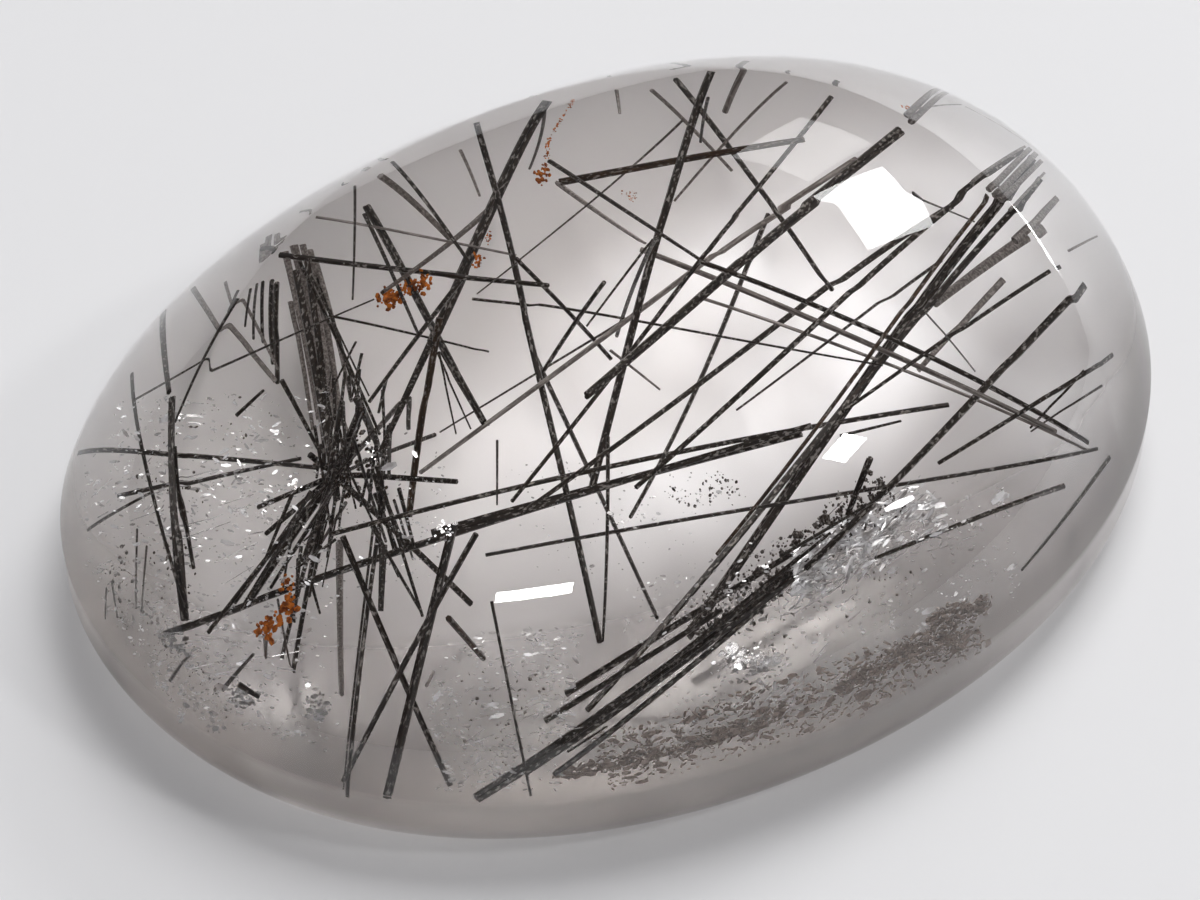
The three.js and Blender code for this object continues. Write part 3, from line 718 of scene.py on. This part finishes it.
films = []
for _, *corners, count, size in FILMS:
    for u, v in chance.normal(0.5, FILM_CROWDING, (count, 2)):
        middle = in_spread(sheet_point(corners, u, v), FILM_OFF_SHEET)
        films.append(flake_place(corners, middle, size, FILM_LONGER, FILM_TURNED))
for u, v in chance.uniform(0, 1, (RIM_FLAKES, 2)):
    middle = in_spread(sheet_point(RIM_FILM, u, v), RIM_OFF_SHEET)
    films.append(flake_place(RIM_FILM, middle, RIM_FLAKE_SIZE, FILM_LONGER, RIM_TURNED))
films = scattered(flake_pattern(), films, "bright_films")
film_look = mottled_look(
    "film_look", FLAKE_DARK, FLAKE_DARK_TO, FLAKE_LIGHT, FLAKE_LIGHT_FROM,
    FLAKE_MOTTLE_PER_METRE, FLAKE_ROUGHNESS, FILM_LUSTRE,
)
films.data.materials.append(film_look)
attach(films, "root")

# The brown bands: painted shade, as dark brown-grey bands along the near rim close to the underside. They are
# built of thin brown-grey flakes that lie in flat sheets.

# The name, four corners and the number of flakes.
SHADE_BANDS = [
    ("line_left", (-8.3, -11.0, 2.6), (-4.5, -11.8, 2.6), (-4.4, -11.3, 2.6), (-8.1, -10.5, 2.6), 420),
    ("line_middle", (-4.5, -11.8, 2.6), (-1.0, -11.9, 2.6), (-0.8, -11.4, 2.6), (-4.4, -11.3, 2.6), 380),
    ("band_middle", (0.7, -12.3, 2.9), (3.2, -12.2, 2.9), (3.3, -11.3, 2.9), (0.9, -11.7, 2.9), 320),
    ("band_right", (3.2, -12.2, 2.9), (5.4, -12.6, 2.7), (5.4, -11.9, 2.9), (3.3, -11.3, 2.9), 300),
    ("patch", (4.1, -11.6, 3.0), (6.5, -11.8, 3.0), (6.5, -11.2, 3.0), (4.6, -10.6, 3.0), 400),
    ("wide_left", (-6.7, -10.0, 2.8), (0.0, -10.7, 2.8), (0.9, -13.1, 2.4), (-7.0, -12.2, 2.5), 800),
    ("wide_right", (0.0, -10.7, 2.8), (5.6, -11.1, 2.8), (6.3, -12.3, 2.1), (0.9, -13.1, 2.4), 600),
]
SHADE_BAND_FLAKE_SIZE = 0.058
SHADE_BAND_LONGER = 2.4
SHADE_BAND_OFF_SHEET = 0.08
SHADE_BAND_DARK = (0.25, 0.195, 0.165)
SHADE_BAND_PALE = (0.42, 0.345, 0.305)
SHADE_BAND_FLECKS = 0.2

# Painted shade: dark brown-grey flakes laid along the near rim to darken the quartz there.
shade_bands = []
for _, *corners, count in SHADE_BANDS:
    for u, v in chance.uniform(0, 1, (count, 2)):
        middle = in_spread(sheet_point(corners, u, v), SHADE_BAND_OFF_SHEET)
        shade_bands.append(flake_place(corners, middle, SHADE_BAND_FLAKE_SIZE, SHADE_BAND_LONGER))
shade_bands = scattered(flake_pattern(), shade_bands, "painted_shade_bands")
shade_bands.data.materials.append(needle_look("painted_shade_look", SHADE_BAND_DARK, SHADE_BAND_PALE, SHADE_BAND_FLECKS))
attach(shade_bands, "root")

# The pale threads: the edges of healed cracks, seen as short bright hairs in the quartz.

# The two ends of the line that they follow, how far they spread from it, and their number.
THREADS = [
    ((0.8, -10.1, 5.2), (5.2, -8.7, 5.4), (0.5, 0.7, 0.2), 34),
    ((-1.6, -12.6, 4.2), (0.5, -12.2, 5.2), (0.25, 0.2, 0.2), 8),
    ((-2.0, -13.0, 2.9), (-0.7, -12.8, 3.9), (0.1, 0.1, 0.1), 3),
    ((5.0, -10.2, 5.2), (7.4, -11.0, 5.3), (0.2, 0.1, 0.1), 3),
    ((-16.5, 2.2, 4.2), (-12.5, 0.6, 5.6), (0.6, 1.6, 0.4), 16),
    ((-16.4, -2.4, 3.6), (-13.4, -4.4, 4.4), (0.5, 0.8, 0.3), 14),
    ((-10.4, -8.8, 3.8), (-7.6, -9.6, 4.2), (0.7, 0.8, 0.4), 18),
]
THREAD_SHARES = (0.10, 0.32)
THREAD_TURN = 0.12
THREAD_WIDTHS = (0.02, 0.04)

threads = []
for start, end, spread, count in THREADS:
    line = Vector(end) - Vector(start)
    for share, part in zip(chance.uniform(0, 1, count), chance.uniform(*THREAD_SHARES, count)):
        middle = in_spread(Vector(start) + line * share, spread)
        half = (line + Vector(chance.normal(0, THREAD_TURN, 3)) * line.length) * part / 2
        threads.append(fine_needle(middle - half, middle + half, chance.uniform(*THREAD_WIDTHS)))
threads = joined(threads, "pale_threads")
threads.data.materials.append(film_look)
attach(threads, "root")

# The dark specks: grains of the needles' mineral that are caught in the healed cracks. The darkest patch
# lies along the heavy needle like scales.

# The name, four corners, the number of specks and of clumps, and a speck's width.
SPECKS = [
    ("left", (-17.0, 2.6, 3.6), (-14.2, 0.6, 5.0), (-15.2, -2.8, 4.2), (-17.2, -1.2, 2.6), 210, 14, 0.07),
    (
        "left_low",
        (-16.6, -2.6, 3.4), (-15.2, -3.6, 4.4), (-15.4, -5.2, 3.2), (-16.4, -4.4, 2.6),
        60, 7, 0.06,
    ),
    (
        "left_upper",
        (-14.0, 5.4, 6.0), (-10.6, 2.4, 7.6), (-11.8, -0.6, 6.4), (-15.4, 2.6, 5.0),
        60, 12, 0.06,
    ),
    (
        "low_middle",
        (-10.1, -7.5, 5.0), (-7.4, -9.0, 5.0), (-8.2, -10.8, 3.0), (-10.9, -9.3, 3.0),
        90, 9, 0.06,
    ),
    ("marks", (-1.1, -6.0, 7.2), (0.4, -6.5, 6.9), (0.2, -7.0, 6.5), (-1.4, -6.6, 6.8), 70, 9, 0.06),
    ("marks_left", (-2.0, -6.0, 7.2), (-1.4, -6.2, 7.0), (-1.5, -6.6, 6.8), (-2.0, -6.4, 6.9), 26, 4, 0.05),
    (
        "near_right",
        (-3.4, -9.6, 4.9), (3.6, -9.6, 5.2), (5.4, -11.2, 3.2), (-3.4, -11.4, 3.3),
        110, 16, 0.06,
    ),
    ("scales", (-3.2, -9.0, 5.3), (4.0, -7.8, 6.4), (4.5, -8.9, 5.8), (-2.0, -10.1, 4.8), 900, 60, 0.085),
]
SPECK_LOG_SIZES = (-0.1, 0.5)
SPECK_FLECKS = 0.7

specks = []
for _, *corners, count, clumps, size in SPECKS:
    for middle in clumped(corners, count, clumps):
        specks.append(lump_place(middle, size / 2 * chance.lognormal(*SPECK_LOG_SIZES)))
specks = scattered(lump_pattern(), specks, "veil_specks")
specks.data.materials.append(needle_look("speck_look", DARK_BROWN, DARK_GREY, SPECK_FLECKS))
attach(specks, "root")

# The floor: a pale matt sheet under the stone. The light that the dome gathers on the sheet, too finely for
# the samples to find, is painted light: the sheet's own glow in soft ovals. Between them it is darker, which
# is painted shade.

FLOOR_BELOW = 0.08
FLOOR_SIZE = 3
FLOOR_ROUGHNESS = 0.6
FLOOR_COLOUR = (0.80, 0.80, 0.81)
GATHERED_COLOUR = (0.93, 0.96, 1.0)

# The middle and half size of each oval in millimetres, its turn in degrees and its strength.
# Painted light: these glowing ovals on the floor stand in for the light that the dome gathers.
GATHERED = ((4.6, 0.9), (15.0, 5.8), 10, 0.70)
GATHERED_SPOTS = [
    ((12.0, -4.0), (3.6, 3.2), 0, 0.34),
    ((-5.8, -3.4), (2.4, 1.6), -20, 0.10),
]
# Painted shade: these ovals darken the floor's own colour under the stone, where its shadow falls.
SHADED_SPOTS = [
    ((-4.4, 8.2), (3.4, 2.2), 0, 0.18),
    ((-8.3, 5.6), (3.2, 3.0), 0, 0.26),
]
SPOT_CORE = 0.25
CLOUDS_PER_METRE = 210
CLOUD_FROM, CLOUD_TO = 0.32, 0.68
CLOUD_FAINTEST, CLOUD_STRONGEST = 0.35, 1.25

bpy.ops.object.select_all(action="DESELECT")
bpy.ops.mesh.primitive_plane_add(size=FLOOR_SIZE, location=(0, 0, -FLOOR_BELOW * MM))
floor = bpy.context.object
floor.name = "floor"
floor_look = bpy.data.materials.new("floor_look")
floor_look.use_nodes = True
nodes, links = floor_look.node_tree.nodes, floor_look.node_tree.links
shader = nodes["Principled BSDF"]
shader.inputs["Roughness"].default_value = FLOOR_ROUGHNESS
shader.inputs["Emission Color"].default_value = (*GATHERED_COLOUR, 1)
place = nodes.new("ShaderNodeTexCoord")


def spot(middle, half_size, turn, amount):
    """A soft oval on the floor, used for the painted light and the painted shade."""
    oval = nodes.new("ShaderNodeMapping")
    oval.vector_type = "TEXTURE"
    oval.inputs["Location"].default_value = (middle[0] * MM, middle[1] * MM, 0)
    oval.inputs["Rotation"].default_value = (0, 0, radians(turn))
    oval.inputs["Scale"].default_value = (half_size[0] * MM, half_size[1] * MM, 1)
    links.new(place.outputs["Object"], oval.inputs["Vector"])
    distance = nodes.new("ShaderNodeVectorMath")
    distance.operation = "LENGTH"
    links.new(oval.outputs["Vector"], distance.inputs[0])
    fade = nodes.new("ShaderNodeMapRange")
    fade.interpolation_type = "SMOOTHSTEP"
    fade.inputs["From Min"].default_value = SPOT_CORE
    fade.inputs["From Max"].default_value = 1.0
    fade.inputs["To Min"].default_value = amount
    fade.inputs["To Max"].default_value = 0.0
    links.new(distance.outputs["Value"], fade.inputs["Value"])
    return fade.outputs["Result"]


def together(first, second, how):
    both = nodes.new("ShaderNodeMath")
    both.operation = how
    links.new(first, both.inputs[0])
    links.new(second, both.inputs[1])
    return both.outputs["Value"]


clouds = nodes.new("ShaderNodeTexNoise")
clouds.inputs["Scale"].default_value = CLOUDS_PER_METRE
clouds.inputs["Detail"].default_value = 3
links.new(place.outputs["Object"], clouds.inputs["Vector"])
cloudy = nodes.new("ShaderNodeMapRange")
cloudy.inputs["From Min"].default_value = CLOUD_FROM
cloudy.inputs["From Max"].default_value = CLOUD_TO
cloudy.inputs["To Min"].default_value = CLOUD_FAINTEST
cloudy.inputs["To Max"].default_value = CLOUD_STRONGEST
links.new(clouds.outputs["Fac"], cloudy.inputs["Value"])
painted_glow = together(spot(*GATHERED), cloudy.outputs["Result"], "MULTIPLY")
for row in GATHERED_SPOTS:
    painted_glow = together(painted_glow, spot(*row), "ADD")
links.new(painted_glow, shader.inputs["Emission Strength"])
# Painted shade: the floor's colour is mixed towards black in the shaded ovals.
shade = together(*(spot(*row) for row in SHADED_SPOTS), "ADD")
shaded = nodes.new("ShaderNodeMix")
shaded.data_type = "RGBA"
shaded.inputs["A"].default_value = (*FLOOR_COLOUR, 1)
shaded.inputs["B"].default_value = (0, 0, 0, 1)
links.new(shade, shaded.inputs["Factor"])
links.new(shaded.outputs["Result"], shader.inputs["Base Color"])
floor.data.materials.append(floor_look)

# The light: a soft lamp overhead and to the far right, in a dim room. Windows, a lamp and a long bar are
# mirrored in the dome, and far windows and a dark corner of the room in the flat underside.

LIGHTS_AIM_AT = (0, 0, 0.008)

# The name, azimuth, elevation, distance, size, watts and turn about its own middle of each light.
OVERHEAD = ("overhead", *LIT_FROM, 0.6, (0.30, 0.30), 1.95, 0)
MIRRORED_LIGHTS = [
    ("window", 28, 37.5, 0.55, (0.15, 0.105), 0.5, -16),
    ("pane", 46, 31, 0.55, (0.10, 0.115), 0.10, -16),
    ("glint", 15, 4, 0.55, (0.12, 0.075), 0.45, 0),
    ("lamp", -41, 46, 0.5, (0.05, 0.04), 0.25, 0),
    ("bar", -117, 48.5, 0.5, (0.115, 0.026), 0.5, 0),
]
FAR_WINDOWS = [
    ("far_window", 70, 21, 0.6, (0.055, 0.025), 0.07, 0),
    ("far_window_left", 41, 17, 0.6, (0.035, 0.06), 0.035, 0),
    ("far_window_low", 30, 10, 0.6, (0.03, 0.03), 0.015, 0),
]
ROOM_COLOUR = (0.97, 0.96, 1.0)
ROOM = 0.20
MIRRORED_ROOM = 0.03
ROOM_THROUGH = 0.50
DARK_THROUGH = 0.16
DARK_CORNER = (66, 2)
DARKEST_UP_TO = 14
DARK_UP_TO = 34


def rectangle_light(name, azimuth, elevation, distance, size, watts, turn):
    light = bpy.data.lights.new(name, "AREA")
    light.shape = "RECTANGLE"
    light.size, light.size_y = size
    light.energy = watts
    lamp = bpy.data.objects.new(name, light)
    bpy.context.collection.objects.link(lamp)
    towards = direction(azimuth, elevation)
    lamp.location = Vector(LIGHTS_AIM_AT) + towards * distance
    turned = Quaternion((0, 0, 1), radians(turn))
    lamp.rotation_euler = (towards.to_track_quat("Z", "Y") @ turned).to_euler()
    return lamp


rectangle_light(*OVERHEAD).visible_glossy = False
for row in MIRRORED_LIGHTS:
    rectangle_light(*row).visible_transmission = False
for row in FAR_WINDOWS:
    rectangle_light(*row).visible_glossy = False

world = bpy.data.worlds.new("world")
bpy.context.scene.world = world
world.use_nodes = True
nodes, links = world.node_tree.nodes, world.node_tree.links
nodes["Background"].inputs["Color"].default_value = (*ROOM_COLOUR, 1)
ray = nodes.new("ShaderNodeLightPath")
room = nodes.new("ShaderNodeMapRange")
room.inputs["To Min"].default_value = ROOM
room.inputs["To Max"].default_value = MIRRORED_ROOM
links.new(ray.outputs["Is Glossy Ray"], room.inputs["Value"])
through = nodes.new("ShaderNodeMapRange")
links.new(room.outputs["Result"], through.inputs["To Min"])
links.new(ray.outputs["Is Transmission Ray"], through.inputs["Value"])
surroundings = nodes.new("ShaderNodeNewGeometry")
near_corner = nodes.new("ShaderNodeVectorMath")
near_corner.operation = "DOT_PRODUCT"
near_corner.inputs[1].default_value = direction(*DARK_CORNER)
links.new(surroundings.outputs["Position"], near_corner.inputs[0])
darker = nodes.new("ShaderNodeMapRange")
darker.interpolation_type = "SMOOTHSTEP"
darker.inputs["From Min"].default_value = cos(radians(DARK_UP_TO))
darker.inputs["From Max"].default_value = cos(radians(DARKEST_UP_TO))
darker.inputs["To Min"].default_value = ROOM_THROUGH
darker.inputs["To Max"].default_value = DARK_THROUGH
links.new(near_corner.outputs["Value"], darker.inputs["Value"])
links.new(darker.outputs["Result"], through.inputs["To Max"])
links.new(through.outputs["Result"], nodes["Background"].inputs["Strength"])

# The camera: it looks down at 50 degrees from the near side, 28 degrees round to the left, from close by.
# Lengths in pixels are those of an image 1200 pixels wide.

CAMERA_ELEVATION = radians(50)
CAMERA_ROUND = radians(28)
CAMERA_DISTANCE = 0.150
CAMERA_AIMS_AT = (0, 0, 0.005)
PIXELS_PER_RADIAN = 4594
MIDDLE_RIGHT, MIDDLE_DOWN = 24, -62
IMAGE_WIDTH = 1200
SENSOR_WIDTH = 36
NEAREST = 0.01

back = Vector((
    -sin(CAMERA_ROUND) * cos(CAMERA_ELEVATION),
    -cos(CAMERA_ROUND) * cos(CAMERA_ELEVATION),
    sin(CAMERA_ELEVATION),
))
right = Vector((cos(CAMERA_ROUND), -sin(CAMERA_ROUND), 0))
up = back.cross(right)
per_pixel = CAMERA_DISTANCE / PIXELS_PER_RADIAN
target = Vector(CAMERA_AIMS_AT) - right * MIDDLE_RIGHT * per_pixel + up * MIDDLE_DOWN * per_pixel
camera_data = bpy.data.cameras.new("camera")
camera_data.lens = PIXELS_PER_RADIAN * SENSOR_WIDTH / IMAGE_WIDTH
camera_data.clip_start = NEAREST
camera = bpy.data.objects.new("camera", camera_data)
bpy.context.collection.objects.link(camera)
camera.location = target + back * CAMERA_DISTANCE
camera.rotation_euler = (-back).to_track_quat("-Z", "Y").to_euler()
bpy.context.scene.camera = camera
bpy.context.scene.view_settings.view_transform = "Standard"
